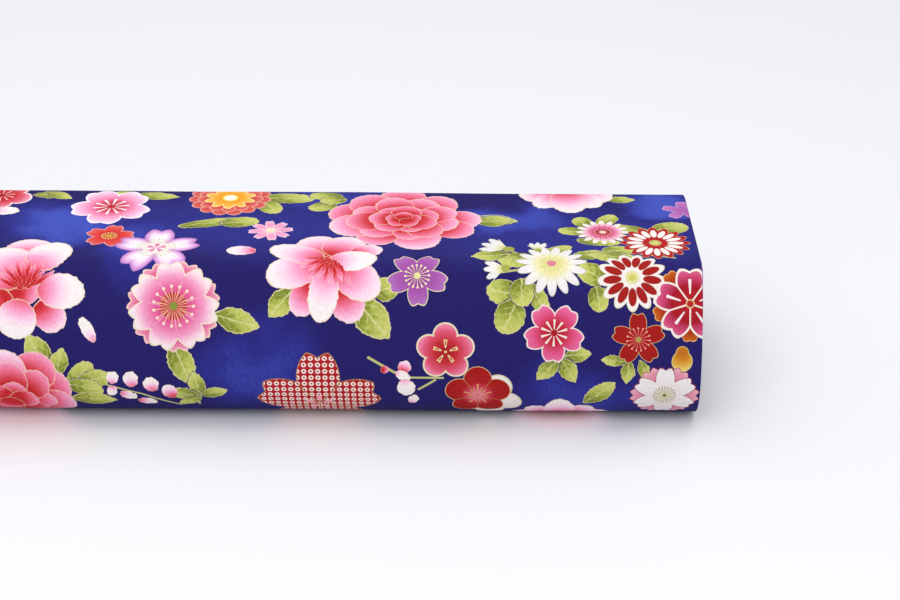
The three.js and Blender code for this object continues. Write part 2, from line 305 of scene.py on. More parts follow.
def woundCloth(name, fine, firstHeight, lastHeight, firstTurn, lastTurn, shares, proud=0.0, sink=0.0,
               thickness=None):
    # a strip of the doubled cloth, from one height on the back to another, counted in turns from the last one
    w = winding
    loop = loopStations(fine)
    count = len(loop)
    first = stepAtHeight(loop, firstHeight) + firstTurn * count
    last = stepAtHeight(loop, lastHeight) + lastTurn * count
    endShare = stepAtHeight(loop, w["endHeight"]) / count
    radius = w["foldRadius"]
    leaf = len(shares)
    across = 2 * leaf - 2 + w["foldSteps"]

    def station(step):
        outer, core = loop[step % count]
        depth = (endShare - step / count + sink) / w["turns"]
        return core.lerp(outer, 1 - depth), (outer - core).normalized()

    def lengthwise(i, lean):
        # x, depth and the distance from the fold's ridge across the cloth
        foldX = boltEnd + lean - radius
        if i < leaf:
            x = -boltEnd - lean * 0.6 + (foldX + boltEnd + lean * 0.6) * shares[i]
            return x, 0.0, x - foldX - radius * math.pi / 2
        if i >= leaf - 1 + w["foldSteps"]:
            share = shares[across - i]
            x = -boltEnd - lean * 0.9 + (foldX + boltEnd + lean * 0.9) * share
            return x, 2 * radius, foldX - x + radius * math.pi / 2
        angle = math.pi * (i - leaf + 1) / w["foldSteps"]
        depth = radius * (1 - math.cos(angle))
        return foldX + radius * math.sin(angle), depth, (angle - math.pi / 2) * radius

    reach = {0: 0.0}
    for step in range(0, min(first, 0), -1):
        reach[step - 1] = reach[step] - (station(step)[0] - station(step - 1)[0]).length
    for step in range(0, max(last, 0)):
        reach[step + 1] = reach[step] + (station(step + 1)[0] - station(step)[0]).length

    bm = bmesh.new()
    bmesh.ops.create_grid(bm, x_segments=across, y_segments=last - first, size=1)
    layer = bm.loops.layers.uv.new("cloth")
    marks = {}
    for v in bm.verts:
        i = round((v.co.x + 1) / 2 * across)
        step = first + round((v.co.y + 1) / 2 * (last - first))
        middle, outward = station(step)
        height = 1 - middle.y / boltHeight
        lean = foldPlace(step, count, w["lowLean"] * (height - 0.45) if fine else 0.0)
        x, depth, u = lengthwise(i, lean)
        lift = proud * unevenness(x, (step % count) / count) - depth
        spot = middle + outward * lift
        v.co = (x, spot.x, spot.y)
        marks[v] = (u, reach[step])
    for face in bm.faces:
        face.smooth = True
        if max(abs(marks[v][0]) for v in face.verts) > 2 * boltEnd - w["selvage"]:
            face.material_index = 1
        for corner in face.loops:
            corner[layer].uv = marks[corner.vert]
    mesh = bpy.data.meshes.new(name)
    bm.to_mesh(mesh)
    bm.free()
    for made in (printedCotton, wrongSide):
        mesh.materials.append(made)
    piece = bpy.data.objects.new(name, mesh)
    bpy.context.collection.objects.link(piece)
    wall = piece.modifiers.new("cloth thickness", "SOLIDIFY")
    wall.thickness, wall.offset = thickness or w["thickness"], -1
    wall.material_offset = wall.material_offset_rim = 1
    print(name, len(mesh.polygons), "faces")
    return piece, reach[last] - reach[first]


# the printed cotton: the pattern is painted in order, ground first, on the cloth's own millimetres

tile = dict(low=(-383, -198, 1), high=(13, 22, 1))

ground = dict(
    dark="1f185e", middle="292a84", bright="4050b6",
    # where the lighter patches lie: place, reach along, reach across, strength
    # most are the print's brushed mottling; those near y -40 to -50, along the top's front edge, are also a
    # painted highlight
    clouds=[(-326, -40, 46, 34, 1.0), (-222, -138, 40, 34, 0.6), (-60, -152, 46, 26, 0.55),
            (-98, -32, 56, 22, 0.8),
            (-12, -12, 34, 22, 1.0), (-190, -4, 40, 24, 0.6), (-368, -122, 14, 34, 0.6),
            (-282, -60, 26, 40, 0.7),
            (-244, -188, 50, 22, 0.5), (-230, -42, 150, 46, 0.42), (-60, -50, 110, 46, 0.42)],
)


def place(ink, cloth, x, y, size, turn=0.0, across=None):
    # a motif's own two directions, 0 in its middle and 1 at its rim
    cos, sin = math.cos(math.radians(turn)), math.sin(math.radians(turn))
    across = across or size
    ahead = ink.vec("DOT_PRODUCT", cloth, (cos / size, sin / size, -(cos * x + sin * y) / size))
    beside = ink.vec("DOT_PRODUCT", cloth, (-sin / across, cos / across, (sin * x - cos * y) / across))
    return ahead, beside


def paintGround(ink, cloth, under, spec):
    stir = ink.put("CombineXYZ", ink.noise(30), ink.noise(34, shift=7), 0.5)
    drift = ink.vec("MULTIPLY_ADD", stir, (44, 44, 0), ink.vec("SUBTRACT", cloth, (22, 22, 0)))
    light = None
    half = [(high - low) / 2 for low, high in zip(tile["low"], tile["high"])]
    # the patches near y -40 to -50 paint a highlight along the top's front edge as well as the print's
    # lighter ground
    for x, y, along, across, strength in spec["clouds"]:
        away = ink.vec("WRAP", ink.vec("SUBTRACT", drift, (x, y, 0)), (*half[:2], 1),
                       (-half[0], -half[1], -1))
        away = ink.vec("MULTIPLY", away, (1 / along, 1 / across, 0))
        glow = ink.put("MapRange", ink.vec("LENGTH", away), 0.2, 1.1, strength, 0.0,
                       interpolation_type="SMOOTHSTEP")
        light = glow if light is None else ink.num("MAXIMUM", light, glow)
    light = ink.num("ADD", light, ink.span(ink.noise(1.2, (1, 2.5, 1), detail=3.0), 0.3, 0.7, -0.08, 0.08))
    return ink.ramp(light, [(0, spec["dark"]), (0.45, spec["middle"]), (1, spec["bright"])])


leafInk = dict(
    shades=[(0, "6a7420"), (0.4, "889234"), (0.62, "acb452"), (1, "c6c86c")],
    vein="d3cf8e", outline="cbc38e", shadow="231d4a",
    # middle, half length, half width, direction of the tip
    pointed=[
        (-340, -4, 9, 4, 0), (-335, -4, 9, 4, -30), (-283, -4, 13, 4.5, -5), (-298, -2, 8, 4, 170),
        (-340, -172, 12, 7, -60), (-103, -31, 13, 6.5, -5), (-103, -32, 10, 6.5, 8), (-35, -5, 8, 4, 0),
        (-46, -72, 11, 5, 172), (-105, -72, 10, 6, 188), (-62, -127, 7, 4, 5), (-67, -135, 8, 4.6, -60),
        (-77, -135, 8, 4.2, -135), (-44, -130, 6.5, 3, 175), (-37, -136, 6.5, 3.6, -95),
        (-29, -135, 6, 3, -70),
        (-51, -149, 11, 5.2, 42), (-232, -111, 12, 6.2, -15), (-260, -133, 13, 6.5, -70),
        (-253, -145, 8, 4.2, 100),
        (-245, -150, 7.5, 3.4, 12), (-260, -151, 8, 4.0, 170), (-257, -156, 7, 3.4, -150),
        (-209.5, -102, 9.5, 6, -130),
        (-158, -95, 9, 6, 15), (-165, -109, 14, 8.5, -50), (-331, -128, 11, 6.5, 118),
        (-321, -133, 8, 4.6, 75),
        (-306, -155, 12, 5, -5),
    ],
    lobed=[
        (-250, -37, 17, 4.5, 16), (-235, -36, 10, 6, 10), (-212, -6, 14, 6, -3), (-221, -17, 9, 6, -60),
        (-192, -3, 9, 5, 175), (-193, -16, 8, 5.5, -150), (-188, -8, 7, 5, 190), (-57, -33, 6, 5, 110),
        (-44, -31, 8, 5, 60), (-63, -44, 7, 4.5, 170), (-50, -56, 11, 4.5, -8), (-40, -66, 9, 5, 0),
        (-42, -74, 10, 5, 0), (-55, -86, 8, 6, 150), (-52, -99, 6.5, 5, -80),
        (-12, -40, 10, 7, 15), (-33, -42, 10, 5, 165), (-93, -76, 9, 7, 190), (-55, -71, 9, 5, 10),
        (-72, -66, 9, 4, 30),
        (-99, -96, 8.5, 6.5, 167), (-96, -108, 9, 7.5, -115), (-82, -99, 8, 4.5, -60), (-90, -96, 7, 6, -90),
        (-311, -140, 9, 5.5, 50), (-304, -142, 8, 5, 15), (-309, -147, 9, 5, -15),
    ],
)


def leafEdge(ink, ahead, beside, pointed):
    if pointed:
        return ink.num("MULTIPLY_ADD", ahead, ahead, ink.num("ABSOLUTE", beside))
    return ink.num("MULTIPLY_ADD", ahead, ahead, ink.num("MULTIPLY", beside, beside))


def findLeaves(ink, cloth, found, leaves, pointed=True):
    for x, y, half, across, turn in leaves:
        ahead, beside = place(ink, cloth, x, y, half, turn, across)
        here = ink.put("CombineXYZ", ahead, beside)
        found = ink.pick(ink.num("LESS_THAN", leafEdge(ink, ahead, beside, pointed), 1.12), found, here)
    return found


def findLobes(ink, cloth, found, lobes):
    return findLeaves(ink, cloth, found, lobes, pointed=False)


def shadeLeaves(ink, found, under, spec, pointed=True):
    along = ink.part(found, 0)
    across = ink.part(found, 1)
    away = ink.num("ABSOLUTE", across)
    edge = leafEdge(ink, along, across, pointed)
    shade = ink.span(ink.num("MULTIPLY_ADD", across, 0.45, along), -1.1, 0.9)
    shade = ink.num("MULTIPLY_ADD", ink.noise(2.5, detail=3.0), 0.9, ink.num("SUBTRACT", shade, 0.45))
    green = ink.ramp(shade, spec["shades"])
    rib = ink.num("FRACT", ink.num("MULTIPLY", ink.num("MULTIPLY_ADD", away, -0.7, along), 2.4))
    rib = ink.num("MULTIPLY", ink.num("COMPARE", rib, 0.5, 0.06), ink.num("LESS_THAN", edge, 0.75))
    green = ink.mix(ink.num("MULTIPLY", rib, 0.45), green, hexColour(spec["vein"]))
    middle = ink.num("MULTIPLY", ink.num("LESS_THAN", away, 0.06), ink.num("LESS_THAN", along, 0.8))
    green = ink.mix(ink.num("MULTIPLY", middle, 0.75), green, hexColour(spec["vein"]))
    green = ink.mix(ink.num("GREATER_THAN", edge, 0.92), green, hexColour(spec["outline"]))
    under = ink.mix(ink.num("LESS_THAN", edge, 1.02), under, green)
    shadow = ink.num("MULTIPLY", ink.num("LESS_THAN", across, 0), ink.num("COMPARE", edge, 1.07, 0.05))
    return ink.mix(ink.num("MULTIPLY", shadow, 0.7), under, hexColour(spec["shadow"]))


def shadeLobes(ink, found, under, spec):
    return shadeLeaves(ink, found, under, spec, pointed=False)


twigInk = dict(
    green="b9b778",
    # from, to, half thickness
    twigs=[(-167, -129, -154, -137, 0.7), (-154, -137, -146, -140, 0.7), (-146, -140, -129, -140, 0.55),
           (-142, -147, -133, -141, 0.6), (-299, -145, -281, -151, 0.45), (-281, -151, -262, -161, 0.55),
           (-104, -61, -92, -69, 0.6), (-101, -86, -88, -84, 0.6), (-86, -60, -82, -66, 0.6),
           (-92, -93, -82, -84, 0.6),
           (-70, -130, -70, -138, 0.5), (-253, -147, -253, -160, 0.6), (-30, -70, -12, -74, 0.5)],
)


def paintTwigs(ink, cloth, under, spec):
    touch = None
    for x, y, toX, toY, half in spec["twigs"]:
        length = math.hypot(toX - x, toY - y) / 2
        turn = math.degrees(math.atan2(toY - y, toX - x))
        ahead, beside = place(ink, cloth, (x + toX) / 2, (y + toY) / 2, length, turn, half)
        reach = ink.num("MAXIMUM", ink.num("ABSOLUTE", ahead), ink.num("ABSOLUTE", beside))
        touch = reach if touch is None else ink.num("MINIMUM", touch, reach)
    return ink.mix(ink.num("LESS_THAN", touch, 1.0), under, hexColour(spec["green"]))


def petalFan(x, y, rows):
    # petals round a middle, the lowest first: direction, distance, half length, half width, tone
    made = []
    for turn, reach, along, across, tone in rows:
        a = math.radians(turn)
        made.append((x + reach * math.cos(a), y + reach * math.sin(a), along, across, turn, tone))
    return made


def ruffledFan(x, y, squash, rings, seed, lightest=0.75):
    # a full peony, the outer ring lowest: number of petals, distance, half length, half width
    dice = random.Random(seed)
    made = []
    for count, reach, along, across in rings:
        deepen = 0.85 * reach / rings[0][1] - 0.05
        start = dice.uniform(0, 360)
        order = list(range(count))
        dice.shuffle(order)
        for i in order:
            turn = start + 360 * i / count + dice.uniform(-9, 9)
            a = math.radians(turn)
            out = reach * dice.uniform(0.9, 1.1)
            size = dice.uniform(0.88, 1.12)
            made.append((x + out * math.cos(a), y + out * math.sin(a) * squash, along * size, across * size,
                         turn,
                         dice.uniform(0.1, lightest) * deepen))
    return made


petalInk = dict(
    ruffle=2.0, ruffleSize=2.2, outline="e6c9a8",
    shades=[(0, "c0242a"), (0.12, "d3404c"), (0.28, "e8708e"), (0.46, "f2a0c2"), (0.62, "f5cddf"),
            (0.8, "f3e6e6"),
            (1, "efe8e4")],
)


def allPetals():
    made = [(-150, -31, 24, 20, 0, 0.15)]
    made += ruffledFan(-150, -31, 0.84, [(9, 27, 13, 12), (9, 18, 11, 10), (7, 10, 8, 8), (5, 5, 5, 5)], 4,
                       0.58)
    made += [(-347, -156, 20, 20, 0, 0.12)]
    made += ruffledFan(-347, -156, 0.95, [(10, 21, 11, 11), (7, 13, 11, 9), (4, 6, 7, 7)], 12, 0.62)
    made += petalFan(-64, 4, [(-170, 14, 11, 11, 0.62), (-12, 15, 11, 11, 0.7), (90, 9, 9, 13, 0.6),
                              (-130, 13, 12, 8, 0.75), (-45, 13, 12, 9, 0.8), (-85, 12, 14, 10, 0.78)])
    made += petalFan(-70, -176, [(170, 15, 10, 8, 0.55), (14, 15, 10, 8, 0.6), (-90, 9, 10, 10, 0.5),
                                 (140, 13, 9.5, 7, 0.62), (45, 13, 9.5, 7, 0.62), (92, 12, 11, 8, 0.85)])
    made += [(-186, -79, 8, 8, 0, 0.2)]
    made += petalFan(-186, -79, [(112, 16, 12, 12, 0.62), (66, 16, 12, 11, 0.58), (30, 21, 8.5, 6.6, 0.6),
                                 (-120, 23.5, 10, 7.5, 0.42), (-68, 25, 10, 8.5, 0.45),
                                 (-38, 17, 14, 10, 0.62),
                                 (-160, 18, 15, 9.4, 0.78), (-98, 19, 14, 7.5, 1.0), (157, 18, 15, 9, 0.85),
                                 (8, 12, 12, 8.5, 1.1)])
    made += [(-337, -96, 8, 8, 0, 0.2)]
    made += petalFan(-337, -96, [(92, 27, 11, 12, 0.62), (126, 17, 15, 14, 0.8), (-150, 18, 11, 9, 0.45),
                                 (-47, 18, 9, 8, 0.5), (65, 24, 13, 11, 1.05), (-3, 18, 12, 9, 1.0),
                                 (-105, 15.5, 10, 10, 1.0)])
    # their stamens, finer strokes over the petals
    for x, y, turn, tone in ((-337, -97, 95, 0.12), (-184, -77, -120, 0.2)):
        made += petalFan(x, y, [(turn + 12 * i, 8 + i % 2 * 3, 7, 1.1, tone) for i in range(-5, 6)])
    made += [(-231, -69.5, 7.5, 5, 180, 1.0), (-306, -116, 7, 3, 118, 1.3), (-360, -24, 8, 5, 0, 1.1)]
    made += [(-295, -141, 3.6, 3.0, 80, 1.2), (-286, -142, 4.3, 3.8, 100, 1.1),
             (-276, -145, 4.3, 3.9, 100, 1.0),
             (-267, -149.5, 4.6, 4.0, 110, 0.75), (-296, -149, 3.4, 2.6, -100, 1.2),
             (-288, -152, 4.6, 2.8, -20, 1.1),
             (-279, -157, 4.8, 2.8, -10, 1.0), (-148.6, -134.3, 3.4, 3.3, 70, 0.6),
             (-149.5, -139, 4, 2.6, -30, 1.4),
             (-148, -146, 5, 4.6, -80, 1.4), (-144.5, -154, 3.4, 2.6, 60, 1.3),
             (-158.6, -135.7, 2.1, 2.1, 0, 0.2)]
    return made


def ruffled(ink, cloth, under, spec):
    stir = ink.put("CombineXYZ", ink.noise(spec["ruffleSize"]), ink.noise(spec["ruffleSize"], shift=9), 0.5)
    full = spec["ruffle"]
    return ink.vec("MULTIPLY_ADD", stir, (full, full, 0), ink.vec("SUBTRACT", cloth, (full / 2, full / 2, 0)))


def findPetals(ink, cloth, found, petals):
    for x, y, along, across, turn, tone in petals:
        ahead, beside = place(ink, cloth, x, y, along, turn, across)
        reach = ink.num("MULTIPLY_ADD", ahead, ahead, ink.num("MULTIPLY", beside, beside))
        here = ink.put("CombineXYZ", ahead, beside, tone)
        found = ink.pick(ink.num("LESS_THAN", reach, 1.0), found, here)
    return found


def shadePetals(ink, found, under, spec):
    along, across, tone = (ink.part(found, i) for i in range(3))
    reach = ink.num("MULTIPLY_ADD", along, along, ink.num("MULTIPLY", across, across))
    light = ink.num("MULTIPLY_ADD", along, 0.42, ink.num("MULTIPLY_ADD", tone, 0.62, -0.02))
    light = ink.num("MULTIPLY_ADD", ink.num("MULTIPLY", across, across), 0.16, light)
    pink = ink.ramp(light, spec["shades"])
    line = ink.span(reach, 0.86, 0.94, 0.0, 0.7)
    pink = ink.mix(line, pink, hexColour(spec["outline"]))
    return ink.mix(ink.num("LESS_THAN", reach, 1.0), under, pink)


def paintFlower(ink, cloth, under, f):
    x, y = place(ink, cloth, f["x"], f["y"], f["size"], f.get("turn", 90))
    reach = ink.vec("LENGTH", ink.put("CombineXYZ", x, y))
    angle = ink.num("ARCTAN2", y, x)

    def wedge(count, shift=0):
        # along and beside the middle line of the nearest of so many equal wedges
        turned = ink.num("ADD", angle, math.radians(shift)) if shift else angle
        turned = ink.num("WRAP", turned, math.pi / count, -math.pi / count)
        ahead = ink.num("MULTIPLY", reach, ink.num("COSINE", turned))
        return ahead, ink.num("MULTIPLY", reach, ink.num("SINE", turned))

    def outline(layer):
        # 0 in the middle of the nearest petal, 1 at its rim; and how far off the line between two petals is
        middle, long, wide, notch, notchWide = layer["petal"]
        ahead, beside = wedge(layer["count"], layer.get("shift", 0))
        beside = ink.num("ABSOLUTE", beside)
        between = None
        if "seam" in layer:
            between = ink.num("SUBTRACT", ink.num("MULTIPLY", ahead, math.tan(math.pi / layer["count"])),
                              beside)
        tip = ink.num("ADD", ahead, ink.span(beside, 0.0, notchWide, notch, 0.0)) if notch else ahead
        oval = ink.vec("MULTIPLY", ink.put("CombineXYZ", tip, beside), (1 / long, 1 / wide, 0))
        edge = ink.num("MINIMUM", ink.vec("DISTANCE", oval, (middle / long, 0, 0)),
                       ink.num("MULTIPLY", reach, 3.2))
        if "fan" in layer:
            edge = ink.num("ADD", edge, ink.num("GREATER_THAN", ink.num("ABSOLUTE", angle), layer["fan"]))
        return edge, between

    for layer in f["layers"]:
        edge, between = outline(layer)
        paint = ink.ramp(edge if layer.get("by") == "petal" else reach, layer["fill"])
        if "dots" in layer:
            paint = dottedResist(ink, cloth, paint, f)
        if between is not None:
            code, width = layer["seam"]
            paint = ink.mix(ink.num("LESS_THAN", between, width), paint, hexColour(code))
        if "edge" in layer:
            code, width = layer["edge"]
            paint = ink.mix(ink.num("GREATER_THAN", edge, 1 - width), paint, hexColour(code))
        under = ink.mix(ink.num("LESS_THAN", edge, 1.0), under, paint)
    for size, code in f.get("heart", []):
        under = ink.mix(ink.num("LESS_THAN", reach, size), under, hexColour(code))
    for rays in f.get("rays", []):
        ahead, beside = wedge(rays["count"], rays.get("shift", 0))
        start, stop = rays["span"]
        stroke = ink.num("COMPARE", ahead, (start + stop) / 2, (stop - start) / 2)
        slim = ink.num("LESS_THAN", ink.num("ABSOLUTE", beside),
                       ink.num("MULTIPLY", ahead, rays["half"] / stop))
        stroke = ink.num("MULTIPLY", slim, stroke)
        under = ink.mix(stroke, under, hexColour(rays["colour"]))
        if "dot" in rays:
            tips = ink.vec("DISTANCE", ink.put("CombineXYZ", ahead, beside), (stop, 0, 0))
            under = ink.mix(ink.num("LESS_THAN", tips, rays["dot"]), under, hexColour(rays["dotColour"]))
    for size, code in f.get("eye", []):
        under = ink.mix(ink.num("LESS_THAN", reach, size), under, hexColour(code))
    return under


def dottedResist(ink, cloth, under, f):
    # rows of little white rings, each with a red middle
    cell = ink.vec("WRAP", ink.vec("SUBTRACT", cloth, (f["x"], f["y"], 1)), (1.75, 1.75, 0),
                   (-1.75, -1.75, 0))
    spot = ink.vec("LENGTH", cell)
    under = ink.mix(ink.num("LESS_THAN", spot, 1.28), under, hexColour("f0ddd4"))
    return ink.mix(ink.num("LESS_THAN", spot, 0.5), under, hexColour("8f1c1c"))


softPink = [(0, "b8182c"), (0.3, "d04a5e"), (0.48, "ee84ac"), (0.72, "f6b4d4"), (0.9, "f8dcea")]
# with two more of these Cycles has rendered all of the cloth black, so look at the picture after adding any
flowers = [
    dict(name="plum top left", x=-365, y=-5, size=17, turn=-90,
         layers=[dict(count=5, petal=(0.56, 0.44, 0.44, 0, 0), edge=("f4dde0", 0.14),
                      fill=[(0, "a5141e"), (0.4, "c62c2c"), (0.7, "dc6276"), (1, "f0aec0")])],
         rays=[dict(count=10, span=(0.1, 0.4), half=0.03, colour="eebcbc")]),
    dict(name="pink plum", x=-304.6, y=-18, size=22.5, turn=-97,
         layers=[dict(count=5, petal=(0.58, 0.42, 0.4, 0.12, 0.22), edge=("f8eaf2", 0.12), fill=softPink)],
         rays=[dict(count=10, span=(0.1, 0.42), half=0.034, colour="fbeaee")]),
    dict(name="orange chrysanthemum", x=-243, y=-6, size=22,
         layers=[dict(count=15, petal=(0.7, 0.3, 0.22, 0, 0), seam=("e29a84", 0.02), edge=("e3a590", 0.1),
                      fill=[(0.5, "a81c20"), (0.75, "c93c36"), (1, "dc6e6e")]),
                 dict(count=13, petal=(0.55, 0.26, 0.2, 0, 0), shift=12, seam=("e29a84", 0.02),
                      edge=("e8a68e", 0.1),
                      fill=[(0.3, "a81c20"), (0.6, "cf4840"), (0.8, "e07878")]),
                 dict(count=10, petal=(0.36, 0.27, 0.14, 0, 0), edge=("f6db8c", 0.18),
                      fill=[(0.1, "e68e22"), (0.35, "f0a630"), (0.6, "f6c468")])],
         eye=[(0.2, "f4cc46"), (0.15, "f8f1dc")]),
    dict(name="little red", x=-300, y=-53.5, size=13.5, turn=80,
         layers=[dict(count=5, petal=(0.55, 0.45, 0.36, 0.14, 0.18), edge=("e59a9a", 0.12),
                      fill=[(0.1, "b4221e"), (0.5, "dc3c36"), (0.95, "de625e")])],
         rays=[dict(count=15, span=(0.08, 0.28), half=0.024, colour="e0b45c", dot=0.034, dotColour="ecc880")],
         eye=[(0.1, "c9a040")]),
    dict(name="white and purple", x=-274, y=-67, size=23,
         layers=[dict(count=5, petal=(0.55, 0.46, 0.33, 0.17, 0.18), by="petal", edge=("b27ab4", 0.06),
                      fill=[(0.1, "f3ece8"), (0.5, "f0e2ec"), (0.75, "dfaede"), (0.95, "c480c4")])],
         heart=[(0.3, "f1e6e4")],
         rays=[dict(count=25, span=(0.2, 0.42), half=0.01, colour="d2cc94", dot=0.02, dotColour="c4bb6c"),
               dict(count=5, span=(0.02, 0.2), half=0.07, colour="e07fa8")]),
    dict(name="cosmos", x=-218, y=-46, size=12.5, turn=8,
         layers=[dict(count=8, petal=(0.6, 0.4, 0.2, 0.14, 0.12), edge=("f4d0e0", 0.14),
                      fill=[(0.1, "f2ccd8"), (0.45, "ee98bc"), (0.95, "f0aecb")])],
         eye=[(0.2, "e8dfc0")]),
    dict(name="cherry of many petals", x=-263, y=-104, size=25, turn=96,
         layers=[dict(count=7, petal=(0.64, 0.36, 0.25, 0.15, 0.15), shift=25.7, edge=("e8c3b4", 0.09),
                      fill=[(0.4, "c94a7c"), (0.75, "dc6a94"), (0.98, "eeb0c2")]),
                 dict(count=7, petal=(0.55, 0.44, 0.29, 0.17, 0.18), edge=("e6d8c2", 0.08),
                      seam=("e58fb0", 0.02),
                      fill=[(0.2, "cc3c72"), (0.42, "e0669a"), (0.62, "eb9cbe"), (0.8, "f1dade"),
                            (0.98, "eee9e2")])],
         heart=[(0.27, "b22e30")], eye=[(0.08, "828c36")],
         rays=[dict(count=26, span=(0.08, 0.28), half=0.012, colour="df9c80"),
               dict(count=15, span=(0.12, 0.4), half=0.014, colour="e6a890", dot=0.032, dotColour="f2d8c6")]),
    dict(name="tie-dyed cherry", x=-192, y=-158, size=33.5,
         layers=[dict(count=5, petal=(0.5, 0.5, 0.33, 0.15, 0.17), dots=True, seam=("a8763c", 0.01),
                      edge=("b07c40", 0.035), fill=[(0, "a81820"), (1, "b01c26")])],
         rays=[dict(count=5, span=(0.06, 0.2), half=0.05, colour="e89ca8")]),
    dict(name="purple cherry", x=-142, y=-88, size=16.5, turn=-88,
         layers=[dict(count=5, petal=(0.56, 0.45, 0.32, 0.15, 0.2), edge=("dccfa0", 0.08),
                      fill=[(0.2, "944898"), (0.6, "a456a6"), (0.95, "ae74b8")])],
         rays=[dict(count=16, span=(0.1, 0.36), half=0.018, colour="e2cc9c", dot=0.035, dotColour="ecdcb2")],
         eye=[(0.1, "e4d890")]),
    dict(name="pink plum blossom", x=-128, y=-126, size=15,
         layers=[dict(count=5, petal=(0.56, 0.44, 0.43, 0, 0), edge=("e0d2b4", 0.14),
                      fill=[(0.1, "a2181c"), (0.4, "c02c34"), (0.7, "da5470"), (0.95, "e888a8")])],
         rays=[dict(count=5, span=(0.14, 0.42), half=0.07, colour="e8cf98"),
               dict(count=5, span=(0.22, 0.37), half=0.028, colour="b84a34")],
         eye=[(0.05, "e4c480")]),
    dict(name="white plum behind", x=-107, y=-154, size=17.5, turn=60,
         layers=[dict(count=5, petal=(0.56, 0.44, 0.43, 0, 0), edge=("cbc29c", 0.08),
                      fill=[(0, "e9e3dc"), (1, "e6ddd8")])]),
    dict(name="red plum", x=-112, y=-150.5, size=17, turn=90,
         layers=[dict(count=5, petal=(0.56, 0.44, 0.43, 0, 0), edge=("cba87c", 0.06), seam=("b07848", 0.012),
                      fill=[(0.1, "e0709c"), (0.32, "c83a52"), (0.5, "a81a18"), (0.95, "a01210")])],
         rays=[dict(count=15, span=(0.06, 0.32), half=0.014, colour="dca850"),
               dict(count=5, span=(0.06, 0.42), half=0.022, colour="e0b460")]),
    dict(name="purple at the edge", x=-3, y=-18, size=12,
         layers=[dict(count=5, petal=(0.58, 0.42, 0.27, 0.13, 0.2), edge=("d2a4cc", 0.1),
                      fill=[(0.2, "a85ca8"), (0.95, "c47abc")])]),
    dict(name="pink and white chrysanthemum", x=-47, y=-45, size=14,
         layers=[dict(count=16, petal=(0.62, 0.38, 0.125, 0, 0), seam=("b84c70", 0.012), edge=("d6cc9c", 0.1),
                      fill=[(0.22, "b0283a"), (0.42, "dc6890"), (0.6, "eeaac4"), (0.8, "f1eae6")])],
         eye=[(0.13, "e4ccac")]),
    dict(name="red chrysanthemum", x=-21, y=-57, size=18,
         layers=[dict(count=16, petal=(0.58, 0.42, 0.165, 0, 0), by="petal", edge=("d4a07c", 0.06),
                      fill=[(0.5, "f2eae4"), (0.58, "b41e1a"), (0.95, "ae1c18")])],
         eye=[(0.16, "b8b04c"), (0.1, "d8d07c")]),
    dict(name="white and red chrysanthemum", x=-35, y=-88, size=17.5, turn=-90,
         layers=[dict(count=13, petal=(0.57, 0.43, 0.195, 0, 0), by="petal", edge=("cfc198", 0.06),
                      fill=[(0.58, "a01a14"), (0.64, "ece4de"), (0.95, "ebe4df")])],
         eye=[(0.2, "dcd69c"), (0.1, "c8c45c")]),
    dict(name="white chrysanthemum", x=-75, y=-80, size=18, turn=-90,
         layers=[dict(count=15, petal=(0.62, 0.38, 0.135, 0, 0), edge=("c2c39c", 0.08), seam=("d8d8b0", 0.01),
                      fill=[(0.2, "dcd27c"), (0.4, "e9e0a8"), (0.6, "ebe7e0"), (1, "e4dfe8")])],
         eye=[(0.13, "d67c92")]),
    dict(name="pink cherry", x=-74, y=-116, size=16, turn=-92,
         layers=[dict(count=5, petal=(0.58, 0.42, 0.37, 0.12, 0.2), edge=("e8d8d0", 0.11),
                      fill=[(0.1, "a81822"), (0.35, "be283a"), (0.6, "d84c78"), (0.9, "e26c9c")])],
         rays=[dict(count=10, span=(0.1, 0.42), half=0.04, colour="eedfd8")]),
    dict(name="red cherry", x=-32, y=-119, size=14.3, turn=92,
         layers=[dict(count=5, petal=(0.56, 0.44, 0.31, 0.14, 0.18), edge=("c8a474", 0.07),
                      fill=[(0, "a61812"), (1, "9c1610")])],
         rays=[dict(count=15, span=(0.1, 0.4), half=0.016, colour="e0887c", dot=0.03, dotColour="eab4a4")],
         eye=[(0.1, "b8924c"), (0.05, "98984c")]),
    dict(name="heart cherry", x=-6.4, y=-101, size=20.5,
         layers=[dict(count=5, petal=(0.62, 0.38, 0.22, 0.1, 0.15), shift=36, edge=("dca064", 0.07),
                      fill=[(0.3, "b4420e"), (0.7, "a83408"), (1, "c46c1a")]),
                 dict(count=5, petal=(0.56, 0.44, 0.35, 0.2, 0.26), edge=("ece0d6", 0.14),
                      seam=("ece0d6", 0.025),
                      fill=[(0.15, "ac1a22"), (0.45, "a01220"), (0.7, "c84470"), (0.95, "da72a0")])],
         rays=[dict(count=5, span=(0.24, 0.6), half=0.04, colour="efe2e2")],
         eye=[(0.11, "d6b47c"), (0.08, "b02420")]),
    dict(name="orange petal", x=-10, y=-125.5, size=10.5, turn=-90,
         layers=[dict(count=1, petal=(0.45, 0.55, 0.5, 0, 0), edge=("d6c07c", 0.1),
                      fill=[(0, "b86414"), (0.35, "c87c1c"), (0.65, "d8a440"), (0.9, "e2cc74")])]),
    dict(name="double cherry", x=-18, y=-150, size=18.5, turn=90,
         layers=[dict(count=6, petal=(0.66, 0.34, 0.27, 0.14, 0.14), shift=30, edge=("983048", 0.06),
                      fill=[(0.4, "c86e8a"), (0.75, "dc8ea2"), (1, "e6b8c2")]),
                 dict(count=6, petal=(0.52, 0.46, 0.27, 0.16, 0.16), edge=("922a40", 0.06),
                      fill=[(0.1, "dccfb4"), (0.3, "e4dad6"), (0.8, "e9e2e2"), (1, "e2ccd0")])],
         rays=[dict(count=22, span=(0.1, 0.3), half=0.01, colour="807e48", dot=0.018, dotColour="706e34")],
         eye=[(0.06, "7c7e38")]),
]
